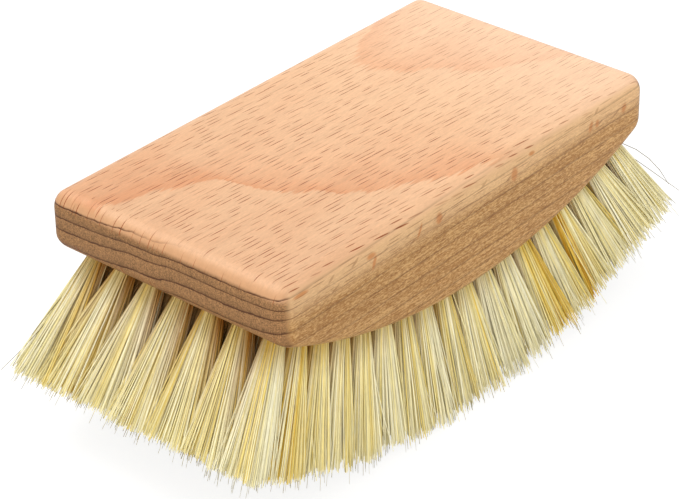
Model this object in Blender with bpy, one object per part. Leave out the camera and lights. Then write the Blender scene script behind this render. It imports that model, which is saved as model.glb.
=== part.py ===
"""Hand brush for cleaning banneton proofing baskets.

A solid beech block, flat on top and rocker-shaped underneath, carries rows of tampico
fibre tufts. Each tuft is folded and set in its own blind hole, and the tufts lean
outwards towards the ends and the sides of the block.

The brush stands on its bristle tips. X runs along the block, Y across it and Z up. The
origin lies on the surface that the brush stands on, below the middle of the block.
All lengths are in metres and all angles in radians.
"""

import math

import bpy
import numpy as np

MM = 0.001

# The beech block
BLOCK_LENGTH = 135 * MM
BLOCK_WIDTH = 73 * MM
MIDDLE_THICKNESS = 29.5 * MM
END_THICKNESS = 14 * MM
TOP_EDGE_RADIUS = 4.5 * MM
BOTTOM_EDGE_RADIUS = 3 * MM
CORNER_RADIUS = 4 * MM

# The pattern of drilled holes, and the lean of the outermost ones away from the vertical
ROW_COUNT = 18
TUFTS_PER_ROW = 7
ROW_INSET = 7 * MM
TUFT_INSET = 9 * MM
END_SPLAY = math.radians(33)
SIDE_SPLAY = math.radians(13)
HOLE_DIAMETER = 5 * MM
HOLE_DEPTH = 9 * MM

# The bristles, and the curve that their tips are trimmed to, which is cut flat where it is lowest
BRISTLE_LENGTH = 31.5 * MM
TRIM_RADIUS = 190 * MM
TRIM_FLAT_DEPTH = 0.5 * MM
TIP_GAP = 0.6 * MM

# A tuft's strands: each one's radius is this share of the whole tuft's
STRANDS_PER_TUFT = 3
STRAND_FILL = 0.44

# The slice of the block's underside that each row of tufts is fused to
SLICE_THICKNESS = 2.4 * MM
SLICE_MARGIN = 0.8 * MM
STRAND_EMBED = 0.9 * MM
ROOT_EMBED = 0.8 * MM

# The gap between pieces that fit into each other
CLEARANCE = 0.3 * MM

# How finely the curves are drawn, and the least radius that a rounded corner shrinks to
CORNER_STEPS = 5
EDGE_STEPS = 4
ROCKER_STEPS = 18
HOLE_SIDES = 8
STRAND_SIDES = 3
LEAST_RADIUS = 0.2 * MM
SMOOTH_ANGLE = math.radians(35)

# How far the recess's cutter reaches below the wood
CUTTER_REACH = 5 * MM

HALF_LENGTH = BLOCK_LENGTH / 2
HALF_WIDTH = BLOCK_WIDTH / 2
TOP_HEIGHT = BRISTLE_LENGTH + MIDDLE_THICKNESS
ROCKER_RISE = MIDDLE_THICKNESS - END_THICKNESS
ROCKER_RADIUS = (HALF_LENGTH**2 + ROCKER_RISE**2) / (2 * ROCKER_RISE)
ROCKER_CENTRE = BRISTLE_LENGTH + ROCKER_RADIUS
TRIM_CENTRE = TRIM_RADIUS - TRIM_FLAT_DEPTH
HOLE_RADIUS = HOLE_DIAMETER / 2
TUFT_RADIUS = HOLE_RADIUS - CLEARANCE / 2
ROOT_RADIUS = HOLE_RADIUS - CLEARANCE
LAST_ROW = HALF_LENGTH - ROW_INSET
LAST_TUFT = HALF_WIDTH - TUFT_INSET
FIELD_MARGIN = HOLE_RADIUS + SLICE_MARGIN
ROW_PITCH = 2 * LAST_ROW / (ROW_COUNT - 1)
TUFT_PITCH = 2 * LAST_TUFT / (TUFTS_PER_ROW - 1)


def clear_scene():
    for thing in list(bpy.data.objects):
        bpy.data.objects.remove(thing, do_unlink=True)


def material(name, colour, roughness):
    made = bpy.data.materials.new(name)
    made.use_nodes = True
    shader = made.node_tree.nodes["Principled BSDF"]
    shader.inputs["Base Color"].default_value = (*colour, 1)
    shader.inputs["Roughness"].default_value = roughness
    shader.inputs["Metallic"].default_value = 0
    return made


def mesh_object(name, points, faces, finish):
    mesh = bpy.data.meshes.new(name)
    mesh.from_pydata([tuple(map(float, point)) for point in points], [], faces)
    mesh.materials.append(finish)
    mesh.shade_smooth()
    mesh.set_sharp_from_angle(angle=SMOOTH_ANGLE)
    made = bpy.data.objects.new(name, mesh)
    bpy.context.scene.collection.objects.link(made)
    return made


def helper(name, points, faces, finish):
    """A solid that only cuts or is joined into another one."""
    made = mesh_object(name, points, faces, finish)
    made.hide_render = True
    made.display_type = "WIRE"
    return made


def boolean(target, operation, tool):
    step = target.modifiers.new(tool.name, "BOOLEAN")
    step.operation = operation
    step.solver = "EXACT"
    step.object = tool


def underside_height(x):
    """The height of the block's rocker, an arc of a circle that is lowest in the middle."""
    return ROCKER_CENTRE - np.sqrt(ROCKER_RADIUS**2 - x**2)


def rocker_angle(x):
    """How far the underside leans at x: its normal points from the arc's centre."""
    return math.asin(x / ROCKER_RADIUS)


def rocker_point(angle, inset):
    """(x, z) at this angle round the rocker's centre, this far inside the wood."""
    radius = ROCKER_RADIUS - inset
    return radius * math.sin(angle), ROCKER_CENTRE - radius * math.cos(angle)


def block_outline(inset):
    """The block's plan drawn in by inset, counterclockwise from the far end's +Y corner."""
    radius = max(CORNER_RADIUS - inset, LEAST_RADIUS)
    centre_x = HALF_LENGTH - inset - radius
    centre_y = HALF_WIDTH - inset - radius
    turns = np.linspace(0, math.pi / 2, CORNER_STEPS + 1)
    sides = np.linspace(1, -1, ROCKER_STEPS + 1)[1:-1]
    far = np.column_stack(
        [centre_x + radius * np.cos(turns), centre_y + radius * np.sin(turns)]
    )
    side = np.column_stack([centre_x * sides, np.full(len(sides), centre_y + radius)])
    near = far[::-1] * (-1, 1)
    half = np.vstack([far, side, near])
    return np.vstack([half, half[::-1] * (1, -1)])


def block_points():
    """Rings up the block: the rounded lower edge, then the rounded upper edge."""
    rings = []
    for turn in np.linspace(0, math.pi / 2, EDGE_STEPS + 1):
        plan = block_outline(BOTTOM_EDGE_RADIUS * (1 - math.sin(turn)))
        rise = BOTTOM_EDGE_RADIUS * (1 - math.cos(turn))
        rings.append(np.column_stack([plan, underside_height(plan[:, 0]) + rise]))
    for turn in np.linspace(math.pi / 2, 0, EDGE_STEPS + 1):
        plan = block_outline(TOP_EDGE_RADIUS * (1 - math.sin(turn)))
        drop = TOP_EDGE_RADIUS * (1 - math.cos(turn))
        rings.append(np.column_stack([plan, np.full(len(plan), TOP_HEIGHT - drop)]))
    return rings


def ring_faces(ring_count, size):
    """The quads between stacked rings of this many points."""
    faces = []
    for level in range(ring_count - 1):
        low, high = level * size, (level + 1) * size
        for i in range(size):
            j = (i + 1) % size
            faces.append((low + i, low + j, high + j, high + i))
    return faces


def ladder(first, size):
    """Quads across a ring, each joining two points to their mirror images over X."""
    last = first + size - 1
    return [
        (first + i, first + i + 1, last - i - 1, last - i) for i in range(size // 2 - 1)
    ]


def block_solid(finish):
    rings = block_points()
    size = len(rings[0])
    faces = ring_faces(len(rings), size)
    faces += [face[::-1] for face in ladder(0, size)]
    faces += ladder((len(rings) - 1) * size, size)
    return mesh_object("block", np.vstack(rings), faces, finish)


def across(profile, half_width):
    """A closed (x, z) profile, clockwise seen from -Y, carried across the block."""
    count = len(profile)
    points = [(x, side * half_width, z) for side in (-1, 1) for x, z in profile]
    faces = ring_faces(2, count)
    faces += [tuple(range(count))[::-1], tuple(range(count, 2 * count))]
    return points, faces


def row_edges():
    """The angles round the rocker where one row's slice ends and the next begins."""
    middles = (np.arange(ROW_COUNT - 1) + 1) * ROW_PITCH - LAST_ROW - ROW_PITCH / 2
    outer = LAST_ROW + FIELD_MARGIN
    return [rocker_angle(x) for x in (-outer, *middles, outer)]


def recess_cutter(finish):
    """The recess in the underside that the rows' slices fill."""
    edges = row_edges()
    depth = SLICE_THICKNESS + CLEARANCE
    slack = CLEARANCE / ROCKER_RADIUS
    ceiling = [edges[0] - slack, *edges[1:-1], edges[-1] + slack]
    profile = [rocker_point(angle, depth) for angle in ceiling]
    near, far = (rocker_point(ceiling[end], -CUTTER_REACH) for end in (0, -1))
    floor = BRISTLE_LENGTH - CUTTER_REACH
    profile += [far, (far[0], floor), (near[0], floor), near]
    points, faces = across(profile, LAST_TUFT + FIELD_MARGIN + CLEARANCE)
    return helper("recess_cutter", points, faces, finish)


def row_slice(number, finish):
    """One row's slice of the underside, flush with the block around it."""
    edges = row_edges()
    slack = CLEARANCE / 2 / ROCKER_RADIUS
    low = edges[number] + (slack if number else 0)
    high = edges[number + 1] - (slack if number < ROW_COUNT - 1 else 0)
    profile = [
        rocker_point(low, SLICE_THICKNESS),
        rocker_point(high, SLICE_THICKNESS),
        rocker_point(high, 0),
        rocker_point(low, 0),
    ]
    points, faces = across(profile, LAST_TUFT + FIELD_MARGIN)
    return mesh_object(f"tuft_row_{number + 1:02d}", points, faces, finish)


def tufts_of(number):
    """(root, direction) of each tuft in a row: the root lies on the underside."""
    x = number * ROW_PITCH - LAST_ROW
    lean_along = math.tan(END_SPLAY * x / LAST_ROW)
    tufts = []
    for y in np.linspace(-LAST_TUFT, LAST_TUFT, TUFTS_PER_ROW):
        lean_across = math.tan(SIDE_SPLAY * y / LAST_TUFT)
        direction = np.array([lean_along, lean_across, -1.0])
        root = np.array([x, y, underside_height(x)])
        tufts.append((root, direction / np.linalg.norm(direction)))
    return tufts


def prism(rings):
    """Points and faces of a closed prism through rings listed from one end to the other."""
    count, size = len(rings), len(rings[0])
    faces = ring_faces(count, size)
    faces += [tuple(range(size))[::-1]]
    faces += [tuple(range((count - 1) * size, count * size))]
    return np.vstack(rings), faces


def joined(solids):
    """Separate solids' points and faces as one list of each."""
    points, faces, start = [], [], 0
    for some_points, some_faces in solids:
        points.append(some_points)
        faces += [tuple(start + i for i in face) for face in some_faces]
        start += len(some_points)
    return np.vstack(points), faces


def polygon(sides, radius):
    """The corners of a regular polygon, counterclockwise, one of them on its first axis."""
    turns = np.arange(sides) * 2 * math.pi / sides
    return radius * np.column_stack([np.cos(turns), np.sin(turns)])


def bored(root, direction, radius, low, high):
    """A straight round solid along a tuft's axis, between two distances up from its root."""
    upwards = -direction
    first = np.cross((0, 1, 0), upwards)
    first /= np.linalg.norm(first)
    second = np.cross(upwards, first)
    corners = polygon(HOLE_SIDES, radius) @ np.vstack([first, second])
    return prism([root + upwards * reach + corners for reach in (low, high)])


def hole_cutter(finish):
    """Every tuft's blind hole, drilled up from the recess along the tuft's own lean."""
    ceiling = SLICE_THICKNESS + CLEARANCE
    holes = [
        bored(root, direction, HOLE_RADIUS, SLICE_THICKNESS - ROOT_EMBED, ceiling + HOLE_DEPTH)
        for number in range(ROW_COUNT)
        for root, direction in tufts_of(number)
    ]
    points, faces = joined(holes)
    return helper("hole_cutter", points, faces, finish)


def row_roots(number, finish):
    """The folded ends of a row's tufts, which fill their holes."""
    low = SLICE_THICKNESS - ROOT_EMBED
    high = SLICE_THICKNESS + HOLE_DEPTH
    roots = [
        bored(root, direction, ROOT_RADIUS, low, high)
        for root, direction in tufts_of(number)
    ]
    points, faces = joined(roots)
    return helper(f"roots_{number + 1:02d}", points, faces, finish)


def trim_reach(start, way):
    """How many times way each start needs to meet the trimmed curve or the flat under it."""
    rise = start[:, 2] - TRIM_CENTRE
    a = way[:, 0] ** 2 + way[:, 2] ** 2
    b = start[:, 0] * way[:, 0] + rise * way[:, 2]
    c = start[:, 0] ** 2 + rise**2 - TRIM_RADIUS**2
    curve = (np.sqrt(b**2 - a * c) - b) / a
    flat = -start[:, 2] / way[:, 2]
    return np.minimum(curve, flat)


def tip_spread():
    """How many times a tuft widens from its root to its tips, where it all but meets the next."""
    lean_step = END_SPLAY * ROW_PITCH / LAST_ROW
    side_step = SIDE_SPLAY * TUFT_PITCH / LAST_TUFT
    along = ROW_PITCH + BRISTLE_LENGTH * math.tan(lean_step)
    side = TUFT_PITCH + BRISTLE_LENGTH * math.tan(side_step)
    return (min(along, side) - TIP_GAP) / 2 / TUFT_RADIUS


def strand(root, direction, tangent, corners, spread):
    """One strand: its corners keep their order round the tuft's axis as the tuft widens."""
    axes = np.vstack([tangent, (0, 1, 0)])
    start = root + corners @ axes
    length = BRISTLE_LENGTH / -direction[2]
    end = root + direction * length + (corners * spread) @ axes
    way = end - start
    sunk = start - way * STRAND_EMBED / length
    tips = start + way * trim_reach(start, way)[:, None]
    return prism([tips, sunk])


def strand_pattern(number):
    """Each strand's corners round its tuft's axis: the brush's two halves mirror each other."""
    outline = polygon(STRAND_SIDES, STRAND_FILL * TUFT_RADIUS)
    centres = polygon(STRANDS_PER_TUFT, (1 - STRAND_FILL) * TUFT_RADIUS)
    pattern = [centre + outline for centre in centres]
    if number * ROW_PITCH < LAST_ROW:
        pattern = [corners[::-1] * (-1, 1) for corners in pattern]
    return pattern


def row_strands(number, finish):
    """The row's bristles, each tuft a ring of strands."""
    angle = rocker_angle(number * ROW_PITCH - LAST_ROW)
    tangent = (math.cos(angle), 0, math.sin(angle))
    spread = tip_spread()
    solids = [
        strand(root, direction, tangent, corners, spread)
        for root, direction in tufts_of(number)
        for corners in strand_pattern(number)
    ]
    points, faces = joined(solids)
    return helper(f"strands_{number + 1:02d}", points, faces, finish)


def put_origin(thing, place, turn):
    """Gives an object its own location and turn, and leaves its shape where it is."""
    thing.location = place
    thing.rotation_euler = (0, turn, 0)
    bpy.context.view_layer.update()
    thing.data.transform(thing.matrix_world.inverted())


def tuft_row(number, finish, parent):
    row = row_slice(number, finish)
    x = number * ROW_PITCH - LAST_ROW
    put_origin(row, (x, 0, underside_height(x)), -rocker_angle(x))
    row.parent = parent
    for tool in (row_roots(number, finish), row_strands(number, finish)):
        tool.parent = parent
        boolean(row, "UNION", tool)


def main():
    clear_scene()
    beech = material("beech", (0.72, 0.46, 0.28), 0.5)
    fibre = material("tampico_fibre", (0.78, 0.68, 0.38), 0.6)
    brush = bpy.data.objects.new("brush", None)
    bpy.context.scene.collection.objects.link(brush)
    block = block_solid(beech)
    put_origin(block, (0, 0, TOP_HEIGHT), 0)
    block.parent = brush
    for tool in (recess_cutter(beech), hole_cutter(beech)):
        tool.parent = brush
        boolean(block, "DIFFERENCE", tool)
    for number in range(ROW_COUNT):
        tuft_row(number, fibre, brush)


main()
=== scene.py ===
# %% [markdown]
# Banneton brush: a lesson in building a wooden hand brush in Blender
#
# The brush is a solid beech block with 126 tufts of pale plant fibre set in blind holes in its
# underside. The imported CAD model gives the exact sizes. It is loaded as a fixed frame, and this
# script builds the surfaces that are seen, right where the CAD solids are.

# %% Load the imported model
import math

import bmesh
import bpy
import numpy as np
from mathutils import Matrix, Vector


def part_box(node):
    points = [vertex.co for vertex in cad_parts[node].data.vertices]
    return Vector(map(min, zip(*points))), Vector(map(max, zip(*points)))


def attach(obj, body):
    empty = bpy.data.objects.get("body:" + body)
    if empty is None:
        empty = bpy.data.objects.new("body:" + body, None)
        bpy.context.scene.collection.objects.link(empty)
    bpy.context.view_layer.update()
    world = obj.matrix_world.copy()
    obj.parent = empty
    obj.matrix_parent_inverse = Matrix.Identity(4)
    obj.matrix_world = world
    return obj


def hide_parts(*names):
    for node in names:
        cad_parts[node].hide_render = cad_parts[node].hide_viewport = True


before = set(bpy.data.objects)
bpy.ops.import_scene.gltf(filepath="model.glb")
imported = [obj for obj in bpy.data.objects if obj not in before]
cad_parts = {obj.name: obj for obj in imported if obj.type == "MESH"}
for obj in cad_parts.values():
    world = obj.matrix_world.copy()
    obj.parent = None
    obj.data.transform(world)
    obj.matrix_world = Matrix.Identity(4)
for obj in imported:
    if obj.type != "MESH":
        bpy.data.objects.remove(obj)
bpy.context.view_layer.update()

# %% [markdown]
# Sizes
#
# The block's outline and heights are read from the CAD node, so that the surface lies on the
# solid. What a box can't tell, such as the radii of the edges and the pattern of the holes, is
# written out here with the values that the CAD source has.

# %% Sizes of the block and the hole pattern
MM = 0.001
BLOCK_LOW, BLOCK_HIGH = (np.array(corner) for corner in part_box("block"))
HALF_LENGTH = (BLOCK_HIGH[0] - BLOCK_LOW[0]) / 2
HALF_WIDTH = (BLOCK_HIGH[1] - BLOCK_LOW[1]) / 2
TOP_HEIGHT = BLOCK_HIGH[2]
UNDER_HEIGHT = BLOCK_LOW[2]
END_THICKNESS = 14 * MM
TOP_EDGE_RADIUS = 4.5 * MM
BOTTOM_EDGE_RADIUS = 3 * MM
CORNER_RADIUS = 4 * MM
ROW_COUNT = 18
TUFTS_PER_ROW = 7
ROW_INSET = 7 * MM
TUFT_INSET = 9 * MM
LAST_ROW = HALF_LENGTH - ROW_INSET
LAST_TUFT = HALF_WIDTH - TUFT_INSET
HOLE_RADIUS = 2.5 * MM
HOLE_BORDER = 0.8 * MM
FIELD_MARGIN = HOLE_RADIUS + HOLE_BORDER
ROCKER_RISE = TOP_HEIGHT - UNDER_HEIGHT - END_THICKNESS
ROCKER_RADIUS = (HALF_LENGTH**2 + ROCKER_RISE**2) / (2 * ROCKER_RISE)
ROCKER_CENTRE = UNDER_HEIGHT + ROCKER_RADIUS
print("rocker radius in mm:", round(ROCKER_RADIUS / MM, 1))

# %% [markdown]
# Camera
#
# The camera's place, direction and lens were solved from the outline of the block in the
# photograph. An azimuth and an elevation say which way it looks, and a small roll tilts it. The
# camera's own axes are built from these: its back, its right and its up.

# %% Camera
CAMERA_PLACE = (-431.516 * MM, -371.286 * MM, 370.933 * MM)
CAMERA_AZIMUTH = math.radians(-48.824)
CAMERA_ELEVATION = math.radians(31.095)
CAMERA_ROLL = math.radians(-0.911)
CAMERA_LENS = 144.19
SENSOR_WIDTH = 36


def camera_turn(azimuth, elevation, roll):
    """The back axis points from the subject to the camera, the right axis is level, and both the
    right and the up axis then turn by the roll about the back one."""
    back = np.array(
        [
            math.sin(azimuth) * math.cos(elevation),
            -math.cos(azimuth) * math.cos(elevation),
            math.sin(elevation),
        ]
    )
    level = np.cross((0, 0, 1), back)
    level /= np.linalg.norm(level)
    upright = np.cross(back, level)
    right = level * math.cos(roll) + upright * math.sin(roll)
    return np.column_stack([right, np.cross(back, right), back])


def new_object(name, data):
    """An object with this data, linked into the scene."""
    made = bpy.data.objects.new(name, data)
    bpy.context.scene.collection.objects.link(made)
    return made


def placed_object(name, data, place, axes):
    """An object at a place, whose own axes are the columns of a 3 by 3 array."""
    made = new_object(name, data)
    made.matrix_world = Matrix.Translation(place) @ Matrix(axes.tolist()).to_4x4()
    return made


lens = bpy.data.cameras.new("camera")
lens.lens = CAMERA_LENS
lens.sensor_width = SENSOR_WIDTH
turn = camera_turn(CAMERA_AZIMUTH, CAMERA_ELEVATION, CAMERA_ROLL)
bpy.context.scene.camera = placed_object("camera", lens, CAMERA_PLACE, turn)
print("lens in mm:", CAMERA_LENS)

# %% [markdown]
# Patches and welds
#
# A surface can be worked out as grids of points: whole arrays at once, with no loop over
# vertices. Where two patches meet they have the same points, so the double ones can be merged
# afterwards and the surface is closed.

# %% Helpers for grids and meshes


def grid_faces(rows, columns):
    """Quads of a grid: each joins a point to its neighbours in the next row and column."""
    first = np.arange(rows * columns).reshape(rows, columns)
    corners = [first[:-1, :-1], first[:-1, 1:], first[1:, 1:], first[1:, :-1]]
    return np.stack(corners, axis=-1).reshape(-1, 4)


def stacked(grids):
    """Many grids of points as one set of points and quads: each grid's quads are moved up past
    the points of the grids before it."""
    points = [grid.reshape(-1, 3) for grid in grids]
    starts = np.cumsum([0] + [len(some) for some in points[:-1]])
    faces = [grid_faces(*grid.shape[:2]) + start for grid, start in zip(grids, starts)]
    return np.vstack(points), np.vstack(faces)


def mesh_of(name, points, *faces):
    """A mesh straight from arrays. The faces in one array all have equally many corners."""
    mesh = bpy.data.meshes.new(name)
    mesh.vertices.add(len(points))
    mesh.vertices.foreach_set("co", points.astype(np.float32).ravel())
    corners = np.concatenate([some.ravel() for some in faces])
    mesh.loops.add(len(corners))
    mesh.loops.foreach_set("vertex_index", corners.astype(np.int32))
    sizes = np.concatenate([np.full(len(some), some.shape[1]) for some in faces])
    starts = np.concatenate([[0], np.cumsum(sizes)[:-1]])
    mesh.polygons.add(len(sizes))
    mesh.polygons.foreach_set("loop_start", starts.astype(np.int32))
    mesh.update(calc_edges=True)
    mesh.validate()
    return mesh


def piece_of(name, mesh, finish, nodes):
    """An object at the origin that rides on the body and stands for these CAD nodes."""
    mesh.materials.append(finish)
    piece = new_object(name, mesh)
    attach(piece, "root")
    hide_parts(*nodes)


print("faces of a grid of 3 by 3 points:", len(grid_faces(3, 3)))

# %% [markdown]
# Colours and nodes
#
# Colours are written as they look on a screen, and the shader wants linear light, so they are
# converted once. The small functions after that each add a node or a few and give back the
# output, so that a material reads like a sum.

# %% Helpers for colours and sums


def linear(red, green, blue):
    """A screen colour from 0 to 255 as linear light with an alpha of 1."""
    share = np.array([red, green, blue]) / 255
    bright = ((share + 0.055) / 1.055) ** 2.4
    return (*np.where(share <= 0.04045, share / 12.92, bright), 1)


def feed(tree, socket, value):
    """Links an output to a socket, or writes a plain value on it."""
    if isinstance(value, bpy.types.NodeSocket):
        tree.links.new(value, socket)
    else:
        socket.default_value = value


def node_of(tree, kind, *values):
    """A new node whose first sockets are fed with the values."""
    node = tree.nodes.new("ShaderNode" + kind)
    for socket, value in zip(node.inputs, values):
        feed(tree, socket, value)
    return node


def maths(tree, operation, *values):
    """One Math node."""
    node = node_of(tree, "Math", *values)
    node.operation = operation
    return node.outputs[0]


def vector_maths(tree, operation, *values):
    """One Vector Math node."""
    node = node_of(tree, "VectorMath", *values)
    node.operation = operation
    return node.outputs[0]


def product(tree, first, *others):
    """All the values multiplied."""
    for other in others:
        first = maths(tree, "MULTIPLY", first, other)
    return first


def total(tree, first, *others):
    """All the values added up."""
    for other in others:
        first = maths(tree, "ADD", first, other)
    return first


def between(tree, share, low, high):
    """A share from 0 to 1 made a number from low to high."""
    return maths(tree, "MULTIPLY_ADD", share, high - low, low)


print("white in linear light:", linear(255, 255, 255))

# %% [markdown]
# Vectors, blends and patterns need their own nodes. A smooth step and a blend of two colours are
# what most masks and finishes are made of.

# %% Helpers for vectors, blends and patterns


def parts_of(tree, vector):
    """The three numbers of a vector."""
    return node_of(tree, "SeparateXYZ", vector).outputs


def fade(tree, value, low, high):
    """A smooth step: 0 where value is at low, 1 where it is at high."""
    node = node_of(tree, "MapRange", value, low, high)
    node.interpolation_type = "SMOOTHSTEP"
    return node.outputs[0]


def mixed(tree, share, first, second, how="MIX"):
    """A colour blend. A Mix node has sockets for every type, and these are the colour ones."""
    node = tree.nodes.new("ShaderNodeMix")
    node.data_type = "RGBA"
    node.blend_type = how
    feed(tree, node.inputs[0], share)
    feed(tree, node.inputs[6], first)
    feed(tree, node.inputs[7], second)
    return node.outputs[2]


def tinted(tree, colour, tint, share=1):
    """A colour multiplied by a tint, as far as the share says."""
    return mixed(tree, share, colour, tint, "MULTIPLY")


def cloud(tree, vector, detail, roughness=0.5):
    """Noise between 0 and 1 over a vector that is already scaled."""
    node = tree.nodes.new("ShaderNodeTexNoise")
    feed(tree, node.inputs["Vector"], vector)
    node.inputs["Scale"].default_value = 1
    node.inputs["Detail"].default_value = detail
    node.inputs["Roughness"].default_value = roughness
    return node.outputs["Fac"]


def stretched(tree, vector, size):
    """A vector divided by three lengths, so that a pattern of unit size gets this size."""
    return vector_maths(tree, "MULTIPLY", vector, [1 / length for length in size])


def curve_of(tree, value, places, heights, low, high):
    """A curve through (place, height) pairs, for a value in the same units."""
    node = tree.nodes.new("ShaderNodeFloatCurve")
    span = places[-1] - places[0]
    share = maths(tree, "DIVIDE", maths(tree, "SUBTRACT", value, places[0]), span)
    feed(tree, node.inputs["Value"], share)
    points = node.mapping.curves[0].points
    wanted = [((p - places[0]) / span, (h - low) / (high - low)) for p, h in zip(places, heights)]
    points[0].location = wanted[0]
    points[1].location = wanted[-1]
    for pair in wanted[1:-1]:
        points.new(*pair)
    node.mapping.update()
    return between(tree, node.outputs[0], low, high)


print("helpers made for vectors, blends, noise and curves")

# %% [markdown]
# A node group is built once and placed in many materials. In Blender 4.5 its sockets are made on
# the group's interface.

# %% Helpers for groups and materials


def new_group(name, inputs, outputs):
    """A shader node group with named number or vector sockets, and its two end nodes."""
    group = bpy.data.node_groups.new(name, "ShaderNodeTree")
    for label, kind in inputs.items():
        group.interface.new_socket(label, in_out="INPUT", socket_type=kind)
    for label, kind in outputs.items():
        group.interface.new_socket(label, in_out="OUTPUT", socket_type=kind)
    return group, group.nodes.new("NodeGroupInput"), group.nodes.new("NodeGroupOutput")


def placed(tree, group, **values):
    """The group in a material, with its own values. An underscore stands for a space."""
    node = tree.nodes.new("ShaderNodeGroup")
    node.node_tree = group
    for label, value in values.items():
        feed(tree, node.inputs[label.replace("_", " ")], value)
    return node.outputs


def new_material(name, **constants):
    """A material with a Principled shader, whose plain values are set on its own sockets."""
    made = bpy.data.materials.new(name)
    made.use_nodes = True
    shader = made.node_tree.nodes["Principled BSDF"]
    for label, value in constants.items():
        shader.inputs[label.replace("_", " ")].default_value = value
    return made, made.node_tree, shader


print("helpers made for groups and materials")

# %% [markdown]
# Spindles, an effect that several marks in the wood share
#
# Beech shows its rays as short thin spindles. Each cell of a Voronoi pattern has one feature
# point, and the spindle is drawn round it: a lens that is long one way and thin the other. The
# cells are stretched by the caller, so one group makes the dashes on the flat face, and the flecks
# and the pores on the long sides. Each spindle's length and darkness are left to chance.

# %% Group: spindles
FLOAT, VECTOR = "NodeSocketFloat", "NodeSocketVector"
SPINDLE_RANDOMNESS = 0.75
SPINDLE_LENGTHS = 0.6, 1.15
SPINDLE_DEPTHS = 0.35, 1
SPINDLE_BORDER = 0.4

spindles, ins, outs = new_group(
    "spindles",
    {"Cells": VECTOR, "Half Length": FLOAT, "Half Width": FLOAT, "Share": FLOAT},
    {"Mask": FLOAT},
)
cells = spindles.nodes.new("ShaderNodeTexVoronoi")
cells.voronoi_dimensions = "2D"
cells.inputs["Scale"].default_value = 1
cells.inputs["Randomness"].default_value = SPINDLE_RANDOMNESS
feed(spindles, cells.inputs["Vector"], ins.outputs["Cells"])
apart = vector_maths(spindles, "SUBTRACT", ins.outputs["Cells"], cells.outputs["Position"])
away = parts_of(spindles, apart)
chance = parts_of(spindles, cells.outputs["Color"])
longer = between(spindles, chance[2], *SPINDLE_LENGTHS)
half_length = product(spindles, ins.outputs["Half Length"], longer)
along = maths(spindles, "DIVIDE", away[0], half_length)
aside = maths(spindles, "DIVIDE", away[1], ins.outputs["Half Width"])
bulge = maths(spindles, "SUBTRACT", 1, product(spindles, along, along))
lens_shape = maths(spindles, "SUBTRACT", bulge, maths(spindles, "ABSOLUTE", aside))
shown = maths(spindles, "LESS_THAN", chance[0], ins.outputs["Share"])
depth = between(spindles, chance[1], *SPINDLE_DEPTHS)
soft_lens = fade(spindles, lens_shape, 0, SPINDLE_BORDER)
feed(spindles, outs.inputs["Mask"], product(spindles, shown, depth, soft_lens))
print("group:", spindles.name)

# %% [markdown]
# Streaks, the second shared effect
#
# Both the wood and the fibres have fine lengthwise streaks. Noise that is stretched many times
# longer than wide gives them, and two sizes of it together look less regular than one.

# %% Group: streaks
BROADER = (0.35, 0.3, 0.3)

streaks, ins, outs = new_group("streaks", {"Vector": VECTOR, "Strength": FLOAT}, {"Value": FLOAT})
fine = cloud(streaks, ins.outputs["Vector"], 2)
broad = cloud(streaks, vector_maths(streaks, "MULTIPLY", ins.outputs["Vector"], BROADER), 1)
both = maths(streaks, "SUBTRACT", total(streaks, fine, broad), 1)
value = maths(streaks, "MULTIPLY_ADD", both, ins.outputs["Strength"], 1)
feed(streaks, outs.inputs["Value"], value)
print("group:", streaks.name)

# %% [markdown]
# Growth rings on the flat top
#
# The block is cut so that the growth rings lie nearly flat, and one ring surface after another
# reaches the top at a very small angle. That makes broad bands with a wavy border: on one side of
# the border lies late growth, darker and pinker, which fades away from it. A curve through a few
# places draws each border, and stretched noise frays it along the grain. All the patterns in the
# wood have their sizes in millimetres.

# %% Group: top bands
RING_LINE_X = [-68, -65, -59, -54, -48, -43, -39, -36, -32, -28, -24, -19, -12, -5, 5, 18, 68]
RING_LINE_Y = [23, 21.6, 18, 17, 14.4, 12.7, 8.5, -1, -8.7, -12, -19, -23, -26, -31, -34, -38, -44]
TONGUE_Y = [-37, -20, -14, -9, -6, -3, 3, 5, 9, 13, 18, 23, 28, 31, 37]
TONGUE_X = [86, 72, 60, 51, 45, 40, 38, 37, 31, 29, 26, 27, 34, 41, 52]
RING_LINE_RANGE = -50, 30
TONGUE_RANGE = 20, 90
LINE_FADE, LINE_BORDER, LINE_ENDS = 13, 0.8, (22, 0)
TONGUE_FADE, TONGUE_BORDER, TONGUE_STRENGTH = 22, 1.2, 0.75
WAVE_SIZE, WAVE = (22, 8, 8), 2.5
FRAY_SIZE, FRAY = (9, 0.6, 2.5), 4.5


def late_beyond(tree, distance, length, border):
    """1 just beyond a border, falling to 0 further away: a soft step times the number e to the
    power of minus the distance over a length."""
    fall = maths(tree, "POWER", math.e, maths(tree, "DIVIDE", distance, -length))
    return product(tree, fade(tree, distance, -border, border), fall)


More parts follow.
